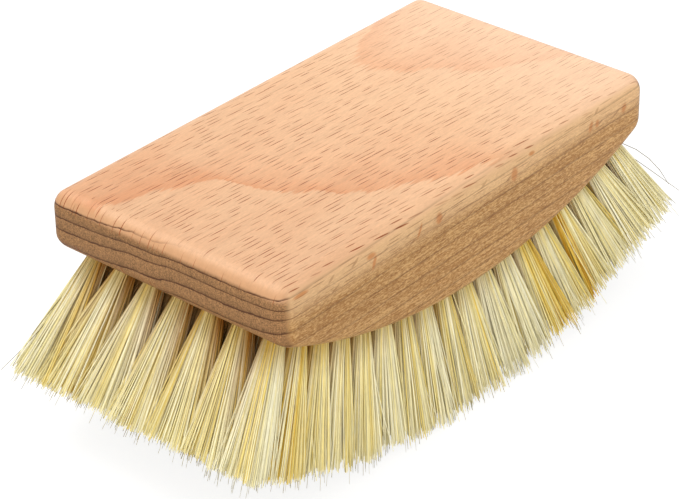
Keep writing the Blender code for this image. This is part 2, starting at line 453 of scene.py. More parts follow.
bands, ins, outs = new_group("top_bands", {"Point": VECTOR}, {"Late": FLOAT})
x, y, _ = parts_of(bands, ins.outputs["Point"])
slow = cloud(bands, stretched(bands, ins.outputs["Point"], WAVE_SIZE), 1)
frayed = cloud(bands, stretched(bands, ins.outputs["Point"], FRAY_SIZE), 2)
waver = total(bands, between(bands, slow, -WAVE, WAVE), between(bands, frayed, -FRAY, FRAY))
ring_line = curve_of(bands, x, RING_LINE_X, RING_LINE_Y, *RING_LINE_RANGE)
past_line = total(bands, maths(bands, "SUBTRACT", y, ring_line), waver)
tongue_line = curve_of(bands, y, TONGUE_Y, TONGUE_X, *TONGUE_RANGE)
past_tongue = total(bands, maths(bands, "SUBTRACT", x, tongue_line), waver)
line_late = late_beyond(bands, past_line, LINE_FADE, LINE_BORDER)
line_late = product(bands, line_late, fade(bands, x, *LINE_ENDS))
tongue_late = late_beyond(bands, past_tongue, TONGUE_FADE, TONGUE_BORDER)
tongue_late = product(bands, tongue_late, TONGUE_STRENGTH)
feed(bands, outs.inputs["Late"], maths(bands, "MAXIMUM", line_late, tongue_late))
print("group:", bands.name)

# %% [markdown]
# Growth rings on the ends
#
# The ends cut straight across the same rings, so there they are thin dark lines, three to four
# millimetres apart. The depth below the top, plus how far the ring surfaces have risen at that
# place across the block, says which ring a point is in. A curve turns it into a number that is
# whole at each line. Each ring gets darker towards its line, and the upper two are a little darker
# than the others. The topmost line is faint on the near half of the width, and worn places break
# all of them.

# %% Group: end rings
RISE_Y = [-38, -35, -28, -21, -17, -8, -2.6, 3.6, 9.8, 15, 21, 33, 38]
RISE = [5.6, 5.3, 4.3, 3.75, 3.7, 3.55, 3.2, 2, 1.8, 1.1, 0.4, -0.1, -0.2]
RISE_RANGE = -1, 7
RISE_GROWS, RISE_GROWTH = (3, 8), (0.68, 1.18)
RISE_ALONG = 0.02
RING_DEPTH = [-8, 0, 3.1, 6, 9.2, 13.3, 17, 21, 25, 40]
RING_NUMBER = [-2, 0, 1, 2, 3, 4, 5, 6, 7, 11]
JAG_SIZE, JAG = (30, 1.8, 1.8), 0.25
UPPER_RINGS, UPPER_LATE = (2.03, 1.97), 0.12
OLD_LATE = 0.65
LINE_SHARE = 0.17
BELOW_FIRST, FAR_HALF, FIRST_LINE_STRENGTH = (1.3, 1.6), (4, 16), 0.35
WORN_SIZE, WORN_FROM, WORN_STRENGTH = (30, 3, 3), (0.35, 0.6), 0.65

end_rings, ins, outs = new_group("end_rings", {"Point": VECTOR}, {"Late": FLOAT, "Line": FLOAT})
x, y, z = parts_of(end_rings, ins.outputs["Point"])
depth = maths(end_rings, "SUBTRACT", TOP_HEIGHT / MM, z)
growing = between(end_rings, fade(end_rings, depth, *RISE_GROWS), *RISE_GROWTH)
rise = product(end_rings, curve_of(end_rings, y, RISE_Y, RISE, *RISE_RANGE), growing)
along = product(end_rings, total(end_rings, x, HALF_LENGTH / MM), RISE_ALONG)
jagged = cloud(end_rings, stretched(end_rings, ins.outputs["Point"], JAG_SIZE), 1)
ring_depth = total(end_rings, depth, rise, along, between(end_rings, jagged, -JAG, JAG))
numbers = RING_NUMBER[0], RING_NUMBER[-1]
count = curve_of(end_rings, ring_depth, RING_DEPTH, RING_NUMBER, *numbers)
age = maths(end_rings, "FRACT", count)
upper = product(end_rings, fade(end_rings, count, *UPPER_RINGS), UPPER_LATE)
old = product(end_rings, maths(end_rings, "POWER", age, 3), OLD_LATE)
feed(end_rings, outs.inputs["Late"], total(end_rings, upper, old))
line = fade(end_rings, age, 1 - LINE_SHARE, 1 - LINE_SHARE / 4)
below_first, far_half = fade(end_rings, count, *BELOW_FIRST), fade(end_rings, y, *FAR_HALF)
clear = maths(end_rings, "MAXIMUM", below_first, far_half)
clear = between(end_rings, clear, FIRST_LINE_STRENGTH, 1)
broken = cloud(end_rings, stretched(end_rings, ins.outputs["Point"], WORN_SIZE), 2)
worn = between(end_rings, fade(end_rings, broken, *WORN_FROM), WORN_STRENGTH, 1)
feed(end_rings, outs.inputs["Line"], product(end_rings, line, clear, worn))
print("group:", end_rings.name)

# %% [markdown]
# Ray spots
#
# Where the rounded long edge turns into the side, a few of the wood's rays are cut almost flat and
# show as small orange-brown spots. Each is a leaning ellipse, and the group gives how far inside
# it a point lies: the squares of the two distances over the half sizes, added up and faded.

# %% Group: ray spot
SPOT_BORDER = 1.5, 0.1

spot, ins, outs = new_group(
    "ray_spot",
    {"Along": FLOAT, "Deep": FLOAT, "Half Length": FLOAT, "Half Height": FLOAT, "Lean": FLOAT},
    {"Mask": FLOAT},
)
along, deep, half_length, half_height, lean = ins.outputs[:5]
leant = maths(spot, "MULTIPLY_ADD", deep, lean, along)
lengthwise = maths(spot, "POWER", maths(spot, "DIVIDE", leant, half_length), 2)
upright = maths(spot, "POWER", maths(spot, "DIVIDE", deep, half_height), 2)
feed(spot, outs.inputs["Mask"], fade(spot, total(spot, lengthwise, upright), *SPOT_BORDER))
print("group:", spot.name)

# %% [markdown]
# Beech
#
# The face that a point lies on decides what is seen there: dashes and bands on the flat top, fine
# lines and flecks on the long sides, ring lines and speckle on the end grain. The object's own
# normal says which face it is. Its level part tells an end from a side, and how steep it is tells
# both from the top, so the patterns blend over the rounded edges as they do in real wood.

# %% Material: beech, which face a point lies on
LEAST_STEEP = 0.01
END_FROM_SIDE = 0.2, 0.72
UNDERSIDE, UNDERSIDE_LIFT = (-0.05, -0.3), 0.28
END_STEEP = 0.86, 0.985
RIM_STEEP = 0.45, 0.9
SIDE_STEEP = 0.55, 1
TOP_FLAT, RIM_LIFT = (0.42, 0.7), 0.3

beech, tree, shader = new_material("beech", Specular_IOR_Level=0.2)
texture_place = tree.nodes.new("ShaderNodeTexCoord")
point = stretched(tree, texture_place.outputs["Object"], (MM, MM, MM))
normals = parts_of(tree, texture_place.outputs["Normal"])
normal_x, normal_y, normal_z = (maths(tree, "ABSOLUTE", part) for part in normals)
level = total(tree, product(tree, normal_x, normal_x), product(tree, normal_y, normal_y))
steep = maths(tree, "SQRT", level)
endwise = maths(tree, "DIVIDE", normal_x, maths(tree, "MAXIMUM", steep, LEAST_STEEP))
is_end = fade(tree, endwise, *END_FROM_SIDE)
is_side = maths(tree, "SUBTRACT", 1, is_end)
down = fade(tree, normals[2], *UNDERSIDE)
turned = maths(tree, "MULTIPLY_ADD", down, UNDERSIDE_LIFT, steep)
end_share = product(tree, is_end, fade(tree, turned, *END_STEEP))
rim_share = product(tree, is_end, fade(tree, steep, *RIM_STEEP))
side_share = product(tree, is_side, fade(tree, turned, *SIDE_STEEP))
wall_share = total(tree, end_share, side_share)
flatness = maths(tree, "MULTIPLY_ADD", is_end, RIM_LIFT, normal_z)
flat_share = fade(tree, flatness, *TOP_FLAT)
print("beech: faces told apart with", len(tree.nodes), "nodes")

# %% [markdown]
# The rays are thin upright sheets, a few millimetres long along the grain. On the flat top only
# their edges show, as dashes, and over the rounded end they turn into short upright lines. On the
# long sides the sheets are seen at a slant as flecks, between finer and longer pores.

# %% Beech: the marks of the rays
GRAIN_SKEW = math.radians(3.2)
FLECK_SLANT = math.radians(24)
DASH_CELL, DASH_HALF = (7, 1.4, 16), (0.46, 0.1)
DASHES_ON_TOP, DASHES_ON_RIM, RIM_FROM = 0.95, 0.65, (0.1, 0.25)
FLECK_CELL, FLECK_HALF, FLECK_SHARE = (8, 6, 3.6), (0.22, 0.1), 0.55
PORE_CELL, PORE_HALF, PORE_SHARE = (8, 5, 0.85), (0.42, 0.16), 0.8


def rotated(tree, vector, turn):
    """A vector turned about X, Y and Z."""
    node = tree.nodes.new("ShaderNodeMapping")
    node.inputs["Rotation"].default_value = turn
    feed(tree, node.inputs["Vector"], vector)
    return node.outputs[0]


def spindle_marks(tree, cells, half, share):
    """Spindles with half their length and width as parts of a cell, in a share of the cells."""
    length, width = half
    return placed(tree, spindles, Cells=cells, Half_Length=length, Half_Width=width, Share=share)[0]


def upright_cells(tree, vector, size):
    """Cells of this size on the long side: its plane is X and Z, where the top's is X and Y."""
    x, y, z = parts_of(tree, stretched(tree, vector, size))
    return node_of(tree, "CombineXYZ", x, z, y).outputs[0]


on_rim = fade(tree, product(tree, is_end, steep), *RIM_FROM)
dash_share = between(tree, on_rim, DASHES_ON_TOP, DASHES_ON_RIM)
dash_cells = stretched(tree, rotated(tree, point, (0, 0, GRAIN_SKEW)), DASH_CELL)
dashes = spindle_marks(tree, dash_cells, DASH_HALF, dash_share)
fleck_cells = upright_cells(tree, rotated(tree, point, (0, FLECK_SLANT, 0)), FLECK_CELL)
flecks = spindle_marks(tree, fleck_cells, FLECK_HALF, FLECK_SHARE)
pores = spindle_marks(tree, upright_cells(tree, point, PORE_CELL), PORE_HALF, PORE_SHARE)
print("beech: dashes, flecks and pores")

# %% [markdown]
# The spots are listed by their place along the block and below its top, then half of their length
# and height, and their lean. On the far side the same list runs the other way, so the place is
# measured against the sign of Y.

# %% Beech: ray spots along the long edges
RAY_SPOTS = [
    (-61.2, 2.6, 2.6, 0.45, 0),
    (-37.9, 3.6, 1.6, 0.7, 0),
    (-37.0, 5.6, 0.65, 1.8, 0.3),
    (-21.0, 4.9, 0.5, 1.8, 0.5),
    (-14.0, 4.7, 1.2, 1.5, 0),
    (14.1, 5.4, 1.3, 1.9, 0),
    (21.1, 2.9, 1.2, 0.5, 0),
    (44.4, 5.5, 0.8, 1.5, 0.2),
    (47.0, 5.7, 0.8, 1.2, 0),
    (58.1, 6.0, 1, 1.3, 0.1),
]
point_x, point_y, point_z = parts_of(tree, point)
run = product(tree, point_x, product(tree, maths(tree, "SIGN", point_y), -1))
deep = maths(tree, "SUBTRACT", TOP_HEIGHT / MM, point_z)
spots = 0
for place, depth, half_length, half_height, lean in RAY_SPOTS:
    mask = placed(
        tree,
        spot,
        Along=maths(tree, "SUBTRACT", run, place),
        Deep=maths(tree, "SUBTRACT", deep, depth),
        Half_Length=half_length,
        Half_Height=half_height,
        Lean=lean,
    )[0]
    spots = maths(tree, "MAXIMUM", mask, spots)
spots = product(tree, spots, is_side)
print("beech:", len(RAY_SPOTS), "ray spots")

# %% [markdown]
# Fine grain is noise stretched along the wood's fibres. Seen from the end, the same fibres are
# dots, so there the noise is as small one way as the other.

# %% Beech: fine grain and speckle
SHEET_SIZE = (6, 0.42, 9)
DOT_SIZE, DOT_ROUGHNESS = (1, 0.3, 0.3), 0.8
PATCH_SIZE = (30, 9, 6)
SIDE_PATCH_SIZE = (18, 9, 3.5)
LONG_GRAIN_SIZE, LONG_GRAIN_STRENGTH = (11, 0.5, 0.5), 0.16
SIDE_GRAIN_SIZE, SIDE_GRAIN_STRENGTH = (9, 3, 0.22), 1.2

sheets = cloud(tree, stretched(tree, point, SHEET_SIZE), 1)
dots = cloud(tree, stretched(tree, point, DOT_SIZE), 1, DOT_ROUGHNESS)
patches = cloud(tree, stretched(tree, point, PATCH_SIZE), 2)
side_patches = cloud(tree, stretched(tree, point, SIDE_PATCH_SIZE), 2)
long_grain, side_grain = (
    placed(tree, streaks, Vector=stretched(tree, point, size), Strength=strength)[0]
    for size, strength in (
        (LONG_GRAIN_SIZE, LONG_GRAIN_STRENGTH),
        (SIDE_GRAIN_SIZE, SIDE_GRAIN_STRENGTH),
    )
)
print("beech: grain")

# %% [markdown]
# The top is pale and pinker where late growth shows, and painted light makes it paler and less
# pink towards the far end. The fine noise multiplies it by about 1.

# %% Beech: the colour of the top
PALE_BEECH = linear(238, 191, 149)
LATE_BEECH = linear(226, 158, 112)
FAR_PAINTED_LIGHT = linear(252, 214, 184)
BAND_STRENGTH = 0.8
PATCH_STRENGTH = 0.45
PAINTED_LIGHT_BLUSH_SLOPE, BLUSH_MIDDLE = -0.0025, -0.15
FAR_LIGHT_FROM, FAR_LIGHT_STRENGTH = (10, 75), 0.45
SHEET_STRENGTH = 0.16
TOP_DOTS = 0.8, 1.04

# The blush falls off towards the far end as part of the painted light there.
blush = maths(tree, "MULTIPLY_ADD", point_x, PAINTED_LIGHT_BLUSH_SLOPE, BLUSH_MIDDLE)
blush = maths(tree, "MULTIPLY_ADD", patches, PATCH_STRENGTH, blush)
blush = total(tree, product(tree, placed(tree, bands, Point=point)[0], BAND_STRENGTH), blush)
top_colour = mixed(tree, blush, PALE_BEECH, LATE_BEECH)
# Painted light: the top is mixed towards a paler colour at the far end.
far_light_share = product(tree, fade(tree, point_x, *FAR_LIGHT_FROM), FAR_LIGHT_STRENGTH)
top_colour = mixed(tree, far_light_share, top_colour, FAR_PAINTED_LIGHT)
comb = maths(tree, "MULTIPLY_ADD", sheets, SHEET_STRENGTH, between(tree, dots, *TOP_DOTS))
top_colour = tinted(tree, top_colour, comb)
print("beech: top")

# %% [markdown]
# The sides are browner and speckled, and painted light makes them pale again close under the top
# edge. The ends are the darkest face, because the cut fibres swallow light, and the edge above
# them is a little darker than the top, with a whitish painted sheen in its colour.

# %% Beech: the colours of the sides and the ends
SIDE_BEECH = linear(210, 165, 107)
SIDE_SHADE = linear(162, 114, 60)
SIDE_PAINTED_LIGHT = linear(246, 203, 154)
RIM_BEECH_AND_SHEEN = linear(212, 160, 116)
END_BEECH = linear(155, 113, 72)
END_LATE = linear(102, 70, 40)
SIDE_PATCH_STRENGTH = 0.6
SIDE_DOTS = -2.2, 0.8
NEAR_TOP, NEAR_TOP_LIGHT_STRENGTH = (10, 2.5), 0.6
END_DOTS = -0.1, 2.1
END_SHEETS = 0.8, 1.2
PAINTED_LIGHT_PER_MM = 0.08 * MM / HALF_LENGTH
MIDDLE_PAINTED_LIGHT = 1.01

side_tone = product(tree, side_patches, SIDE_PATCH_STRENGTH)
side_tone = total(tree, side_tone, between(tree, dots, *SIDE_DOTS), side_grain)
side_colour = mixed(tree, side_tone, SIDE_BEECH, SIDE_SHADE)
# Painted light on the upper part of the side, close under the top edge.
near_top_light = product(tree, fade(tree, deep, *NEAR_TOP), NEAR_TOP_LIGHT_STRENGTH)
side_colour = mixed(tree, near_top_light, side_colour, SIDE_PAINTED_LIGHT)
end_late, end_line = placed(tree, end_rings, Point=point)
end_colour = mixed(tree, end_late, END_BEECH, END_LATE)
end_colour = tinted(tree, end_colour, between(tree, dots, *END_DOTS))
end_colour = tinted(tree, end_colour, between(tree, sheets, *END_SHEETS))
# The end's rounded edge takes a colour that is partly the wood's own and partly a painted sheen.
rim_colour = mixed(tree, rim_share, top_colour, RIM_BEECH_AND_SHEEN)
wall_colour = mixed(tree, is_end, side_colour, end_colour)
colour = mixed(tree, wall_share, rim_colour, wall_colour)
# Painted light: every face is brighter towards the far end and darker towards the near end.
lengthwise = maths(tree, "MULTIPLY_ADD", point_x, PAINTED_LIGHT_PER_MM, MIDDLE_PAINTED_LIGHT)
colour = tinted(tree, colour, product(tree, long_grain, lengthwise))
print("beech: sides and ends")

# %% [markdown]
# The dark marks are laid over the colours last, each with its own strength on its own face. They
# are also pressed in a little by a Bump node, and the end grain is rougher than the planed faces.

# %% Beech: marks, gloss and relief
RAY_BROWN = linear(146, 66, 14)
SIDE_BROWN = linear(126, 76, 34)
SPOT_ORANGE = linear(196, 128, 72)
RING_BROWN = linear(78, 42, 20)
SPOT_STRENGTH = 0.8
FLECK_STRENGTH = 0.5
PORE_STRENGTH = 0.6
RAYS_FROM, RAY_STRENGTHS = (45, 5), (0.6, 1)
LINE_STEEP, LINE_STRENGTHS = (0.3, 0.9), (0.4, 1)
PLANED_ROUGHNESS, END_ROUGHNESS = 0.38, 0.58
RELIEF_STRENGTH, RELIEF_DEPTH = 0.6, 0.06 * MM

paler_rays = between(tree, fade(tree, point_x, *RAYS_FROM), *RAY_STRENGTHS)
ray_mask = product(tree, dashes, flat_share, paler_rays)
side_mask = maths(
    tree,
    "MAXIMUM",
    product(tree, flecks, FLECK_STRENGTH),
    product(tree, pores, PORE_STRENGTH),
)
side_mask = product(tree, side_mask, side_share)
line_share = product(tree, between(tree, is_end, *LINE_STRENGTHS), fade(tree, steep, *LINE_STEEP))
line_mask = product(tree, end_line, line_share)
colour = mixed(tree, product(tree, spots, SPOT_STRENGTH), colour, SPOT_ORANGE)
colour = mixed(tree, ray_mask, colour, RAY_BROWN)
colour = mixed(tree, side_mask, colour, SIDE_BROWN)
colour = mixed(tree, line_mask, colour, RING_BROWN)
feed(tree, shader.inputs["Base Color"], colour)
rough = between(tree, end_share, PLANED_ROUGHNESS, END_ROUGHNESS)
feed(tree, shader.inputs["Roughness"], rough)
marks = maths(tree, "MAXIMUM", maths(tree, "MAXIMUM", ray_mask, side_mask), line_mask)
relief = tree.nodes.new("ShaderNodeBump")
relief.inputs["Strength"].default_value = RELIEF_STRENGTH
relief.inputs["Distance"].default_value = RELIEF_DEPTH
height = maths(tree, "SUBTRACT", product(tree, dots, end_share), marks)
feed(tree, relief.inputs["Height"], height)
feed(tree, shader.inputs["Normal"], relief.outputs[0])
print("material:", beech.name, "with", len(tree.nodes), "nodes")

# %% [markdown]
# The block
#
# A cube with a Bevel modifier could make a rounded block, but not one with a rocker underside and
# 126 hole mouths. Here the surface is a stack of rings. Each ring runs round the block's plan,
# which is a rectangle with rounded corners, and has as many points as the border of the field of
# holes has. So the rings join the flat top to the field of holes without a gap.

# %% The block's shape
CELL_STEPS = 6
LONG_STEPS = ROW_COUNT * CELL_STEPS
SHORT_STEPS = TUFTS_PER_ROW * CELL_STEPS
ARC_STEPS = 5
EDGE_STEPS = 9
SIDE_STEPS = 6
LEAST_RADIUS = 0.4 * MM
CORNER_TURNS = np.linspace(math.pi / 4, 0, ARC_STEPS + 1)


def underside_height(x):
    """The rocker is an arc of a circle: the centre's height less the arc's height there."""
    return ROCKER_CENTRE - np.sqrt(ROCKER_RADIUS**2 - x**2)


def side_line(steps, reach, radius):
    """Places along one side from -reach to reach: the first and last few lie on the corners'
    arcs, where the place is the arc's centre plus the radius times the sine of the turn."""
    arc = (reach - radius) + radius * np.sin(CORNER_TURNS)
    straight = np.linspace(-(reach - radius), reach - radius, steps - 2 * ARC_STEPS + 1)
    return np.concatenate([-arc[:-1], straight, arc[:-1][::-1]])


def bulge_line(steps, radius):
    """How far each of those places lies in from the side: the radius times one less the cosine."""
    arc = radius * (1 - np.cos(CORNER_TURNS))
    middle = np.zeros(steps - 2 * ARC_STEPS - 1)
    return np.concatenate([arc, middle, arc[::-1]])


def both_halves(front, far):
    """A ring from its first two sides: the other two are the same, turned half way round."""
    half = np.vstack([front[:-1], far[:-1]])
    return np.vstack([half, -half])


def plan_ring(inset):
    """The block's plan drawn in by inset, counterclockwise from the near -Y corner."""
    radius = max(CORNER_RADIUS - inset, LEAST_RADIUS)
    reach_x, reach_y = HALF_LENGTH - inset, HALF_WIDTH - inset
    x = side_line(LONG_STEPS, reach_x, radius)
    y = side_line(SHORT_STEPS, reach_y, radius)
    in_x = bulge_line(LONG_STEPS, radius)
    in_y = bulge_line(SHORT_STEPS, radius)
    front = np.column_stack([x, in_x - reach_y])
    far = np.column_stack([reach_x - in_y, y])
    return both_halves(front, far)


print("each ring of the block has", 2 * (LONG_STEPS + SHORT_STEPS), "points")

# %% [markdown]
# The field of holes is divided into cells with a hole in the middle of each. Its border has to
# have a point wherever a cell's border has one, or the surface would have gaps there.

# %% The border of the field of holes


def field_ring():
    """The border of the field of holes, with one point at each step of its cells."""
    x = cell_places(ROW_COUNT, LAST_ROW)
    y = cell_places(TUFTS_PER_ROW, LAST_TUFT)
    front = np.column_stack([x, np.full(len(x), y[0])])
    far = np.column_stack([np.full(len(y), x[-1]), y])
    return both_halves(front, far)


def cell_edges(count, last):
    """Where the cells of the hole pattern end: half way between two holes, and past the last."""
    holes = np.linspace(-last, last, count)
    outer = last + FIELD_MARGIN
    return np.concatenate([[-outer], (holes[1:] + holes[:-1]) / 2, [outer]])


def cell_places(count, last):
    """The edges of the cells and the steps between them."""
    edges = cell_edges(count, last)
    share = np.arange(count * CELL_STEPS + 1) / CELL_STEPS
    return np.interp(share, np.arange(count + 1), edges)


def raised(ring, height):
    """A plan ring lifted to a height, which may change from point to point."""
    return np.column_stack([ring, np.broadcast_to(height, len(ring))])


print("the border of the field of holes has", len(field_ring()), "points")

# %% [markdown]
# The rings from the field of holes up to the top. At the rounded edges the inset and the height
# follow a quarter circle: the inset is the radius times one less the sine, and the height is the
# radius times one less the cosine.

# %% The block's rings


def block_rings():
    """Rings from the field's border, over both rounded edges, to the edge of the flat top."""
    border = field_ring()
    rings = [raised(border, underside_height(border[:, 0]))]
    for turn in np.linspace(0, math.pi / 2, EDGE_STEPS):
        plan = plan_ring(BOTTOM_EDGE_RADIUS * (1 - math.sin(turn)))
        rise = BOTTOM_EDGE_RADIUS * (1 - math.cos(turn))
        rings.append(raised(plan, underside_height(plan[:, 0]) + rise))
    low, shoulder = rings[-1], TOP_HEIGHT - TOP_EDGE_RADIUS
    for share in np.linspace(0, 1, SIDE_STEPS)[1:-1]:
        rings.append(raised(low[:, :2], low[:, 2] + (shoulder - low[:, 2]) * share))
    for turn in np.linspace(math.pi / 2, 0, EDGE_STEPS):
        plan = plan_ring(TOP_EDGE_RADIUS * (1 - math.sin(turn)))
        rings.append(raised(plan, TOP_HEIGHT - TOP_EDGE_RADIUS * (1 - math.cos(turn))))
    closed = [np.vstack([ring, ring[:1]]) for ring in rings]
    return np.stack(closed)


RINGS = block_rings()
print("the block has", len(RINGS), "rings")

# %% [markdown]
# The flat top fills the last ring. A grid between four given borders is a Coons patch.

# %% The flat top


def filled(ring):
    """A grid inside a closed ring: the blend of the two long sides plus the blend of the two
    short sides, less the blend of the four corners."""
    ends = np.cumsum([0, LONG_STEPS, SHORT_STEPS, LONG_STEPS, SHORT_STEPS])
    front, far, back, near = (ring[ends[i] : ends[i + 1] + 1] for i in range(4))
    back, near = back[::-1], near[::-1]
    u = np.linspace(0, 1, LONG_STEPS + 1)[:, None, None]
    v = np.linspace(0, 1, SHORT_STEPS + 1)[None, :, None]
    lengthwise = (1 - v) * front[:, None] + v * back[:, None]
    crosswise = (1 - u) * near[None] + u * far[None]
    near_corners, far_corners = ((1 - v) * front[end] + v * back[end] for end in (0, -1))
    return lengthwise + crosswise - ((1 - u) * near_corners + u * far_corners)


FLAT_TOP = filled(RINGS[-1])
print("points along and across the flat top:", FLAT_TOP.shape[:2])

# %% [markdown]
# The underside is a field of cells. Each cell has a hole in its middle: rings go from the cell's
# square border to the round mouth, over a small worn edge, and up into the wood along the tuft's
# own lean. All 126 cells are worked out at once, because the arrays have one axis for the cells.

# %% The field of holes
HOLE_SHOWN_DEPTH = 3.5 * MM
MOUTH_EDGE = 0.25 * MM
END_SPLAY = math.radians(33)
SIDE_SPLAY = math.radians(13)


def tuft_places():
    """(root, direction) of every tuft: it leans by a share of the splay, as far along as it is."""
    x = np.linspace(-LAST_ROW, LAST_ROW, ROW_COUNT)
    y = np.linspace(-LAST_TUFT, LAST_TUFT, TUFTS_PER_ROW)
    x, y = np.meshgrid(x, y, indexing="ij")
    roots = np.stack([x, y, underside_height(x)], axis=-1)
    lean = [np.tan(END_SPLAY * x / LAST_ROW), np.tan(SIDE_SPLAY * y / LAST_TUFT), -np.ones_like(x)]
    ways = np.stack(lean, axis=-1)
    return roots, ways / np.linalg.norm(ways, axis=-1, keepdims=True)


print("rows and tufts in a row:", tuft_places()[0].shape[:2])

# %% [markdown]
# A cell's border is walked round once, from its low corner, and the rings inside it start at the
# same corner. So the first point and the last are in the same place, and are merged later.

# %% The cells round the holes


def cell_border():
    """A cell's border from its low corner, as shares of the cell's length and width."""
    run = np.arange(CELL_STEPS) / CELL_STEPS
    flat, full = np.zeros(CELL_STEPS), np.ones(CELL_STEPS)
    x = np.concatenate([run, full, 1 - run, flat])
    y = np.concatenate([flat, run, full, 1 - run])
    return np.append(x, x[0]), np.append(y, y[0])


def on_underside(flat):
    """Places of the plan, lifted to the height of the underside there."""
    return np.concatenate([flat, underside_height(flat[..., :1])], axis=-1)


def hole_cells():
    """One patch for each hole: the border, rings towards the mouth, the wall and its bottom."""
    roots, ways = tuft_places()
    edges_x, edges_y = cell_edges(ROW_COUNT, LAST_ROW), cell_edges(TUFTS_PER_ROW, LAST_TUFT)
    share_x, share_y = cell_border()
    x = edges_x[:-1, None, None] + share_x * np.diff(edges_x)[:, None, None]
    y = edges_y[None, :-1, None] + share_y * np.diff(edges_y)[None, :, None]
    x, y = np.broadcast_arrays(x, y)
    turns = np.linspace(-math.pi * 3 / 4, math.pi * 5 / 4, 4 * CELL_STEPS + 1)
    circle = np.stack([np.cos(turns), np.sin(turns)], axis=-1)
    centre = roots[:, :, None, :2]
    border = np.stack([x, y], axis=-1)
    mouth = centre + (HOLE_RADIUS + MOUTH_EDGE) * circle
    patches = [on_underside(border + (mouth - border) * share) for share in (0, 0.5, 1)]
    upwards = -ways[:, :, None, :]
    wall = [(HOLE_RADIUS, MOUTH_EDGE), (HOLE_RADIUS, HOLE_SHOWN_DEPTH), (0, HOLE_SHOWN_DEPTH)]
    for radius, rise in wall:
        patches.append(on_underside(centre + radius * circle) + upwards * rise)
    cells = np.stack(patches, axis=2)
    return cells.reshape(-1, len(patches), len(turns), 3)


CELLS = hole_cells()
print("cells with a hole:", len(CELLS))

# %% [markdown]
# The rings, the flat top inside the last of them and the cells are joined, and the points that
# they share are merged, which closes the surface. An edge with one face only would show a gap, so
# such edges are counted. The shading is smooth but for edges that are sharper than 40 degrees.

# %% Build the block
MERGE_DISTANCE = 0.002 * MM
SHARP_ANGLE = math.radians(40)


def block_mesh():
    """The whole surface of the block as one closed mesh."""
    mesh = mesh_of("beech_block", *stacked([RINGS, FLAT_TOP, *CELLS]))
    work = bmesh.new()
    work.from_mesh(mesh)
    bmesh.ops.remove_doubles(work, verts=work.verts, dist=MERGE_DISTANCE)
    bmesh.ops.recalc_face_normals(work, faces=work.faces)
    open_edges = sum(not edge.is_manifold for edge in work.edges)
    volume = work.calc_volume(signed=True)
    work.to_mesh(mesh)
    work.free()
    mesh.shade_smooth()
    mesh.set_sharp_from_angle(angle=SHARP_ANGLE)
    print("block:", len(mesh.polygons), "faces and", open_edges, "open edges")
    print("its volume in cubic centimetres:", round(volume * 1e6, 1))
    return mesh


piece_of("beech_block", block_mesh(), beech, ["block"])

# %% [markdown]
# The bristles
#
# A particle system could grow hair, but each fibre here has to leave its own hole, lean as the
# hole was drilled, and end where the brush was trimmed. So the fibres are worked out as arrays. A
# fibre starts at a place in its tuft's round bundle and ends near the same place of the tuft's
# wider fan. That keeps neighbours side by side. Fibres that were pressed together in the hole stay
# together in locks, and the locks, which lean and end a little differently, make it look like cut
# plant fibre.

# %% Sizes of the bristles
FIBRES_PER_TUFT = 380
LOCKS_PER_TUFT = 9
FIBRE_RADIUS = 0.155 * MM
FIBRE_SIDES = 3
BUNDLE_RADIUS = 2.35 * MM
ROOT_SUNK = 0.08
FIBRE_SHARES = np.array([-ROOT_SUNK, 0.03, 0.2, 0.45, 0.72, 1])
FIBRE_STEPS = len(FIBRE_SHARES) - 1
ROW_PITCH = 2 * LAST_ROW / (ROW_COUNT - 1)
TUFT_PITCH = 2 * LAST_TUFT / (TUFTS_PER_ROW - 1)
FULL_TURN = 2 * math.pi
print("fibres:", ROW_COUNT * TUFTS_PER_ROW * FIBRES_PER_TUFT)

# %% [markdown]
# Where a fibre is cut: its straight course is followed until it meets the trimmed curve, which is
# a cylinder across the brush, or the floor. The distance is the root of a quadratic.

# %% How far a fibre reaches
BRISTLE_LENGTH = UNDER_HEIGHT
TRIM_RADIUS = 190 * MM
TRIM_FLAT_DEPTH = 0.5 * MM
TRIM_CENTRE = TRIM_RADIUS - TRIM_FLAT_DEPTH
FAN_OVERLAP = 1.36


def trim_reach(start, way):
    """How many times way each start needs to meet the trimmed curve or the floor, whichever is
    first."""
    rise = start[..., 2] - TRIM_CENTRE
    a = way[..., 0] ** 2 + way[..., 2] ** 2
    b = start[..., 0] * way[..., 0] + rise * way[..., 2]
    c = start[..., 0] ** 2 + rise**2 - TRIM_RADIUS**2
    curve = (np.sqrt(b**2 - a * c) - b) / a
    return np.minimum(curve, -start[..., 2] / way[..., 2])


def fan_size(splay, last, pitch):
    """Half of what a tuft spreads over at its tips: its share of the pitch there, and a little
    more, because neighbouring tufts run into each other."""
    step = splay * pitch / last
    return (pitch + BRISTLE_LENGTH * math.tan(step)) / 2 * FAN_OVERLAP


FAN_HALF = np.array(
    [fan_size(END_SPLAY, LAST_ROW, ROW_PITCH), fan_size(SIDE_SPLAY, LAST_TUFT, TUFT_PITCH)]
)
print("a fan is this long and wide in mm:", np.round(2 * FAN_HALF / MM, 1))

# %% [markdown]
# A bundle's fibres are laid out like the seeds of a sunflower: each turns by the golden angle and
# moves out with the square root of its number, which fills a circle evenly. At the tips the circle
# has been pushed towards a square by the neighbouring tufts.

# %% The places of the fibres in a bundle
GOLDEN_TURN = math.pi * (3 - math.sqrt(5))
FAN_SQUARE = 0.75
FIBRE_STIR = 0.03
LOCK_STIR = 0.12
PER_LOCK = (TUFTS_PER_ROW, LOCKS_PER_TUFT)
TINY = 1e-9


def sunflower(rng, tufts, count, stir):
    """Places in a circle of radius 1 for every tuft, evenly spread, each a little disturbed."""
    number = np.arange(count) + 0.5
    away = np.sqrt(number / count)
    turn = number * GOLDEN_TURN + rng.uniform(0, FULL_TURN, (tufts, 1))
    places = np.stack([away * np.cos(turn), away * np.sin(turn)], axis=-1)
    return places + rng.normal(0, stir, places.shape)


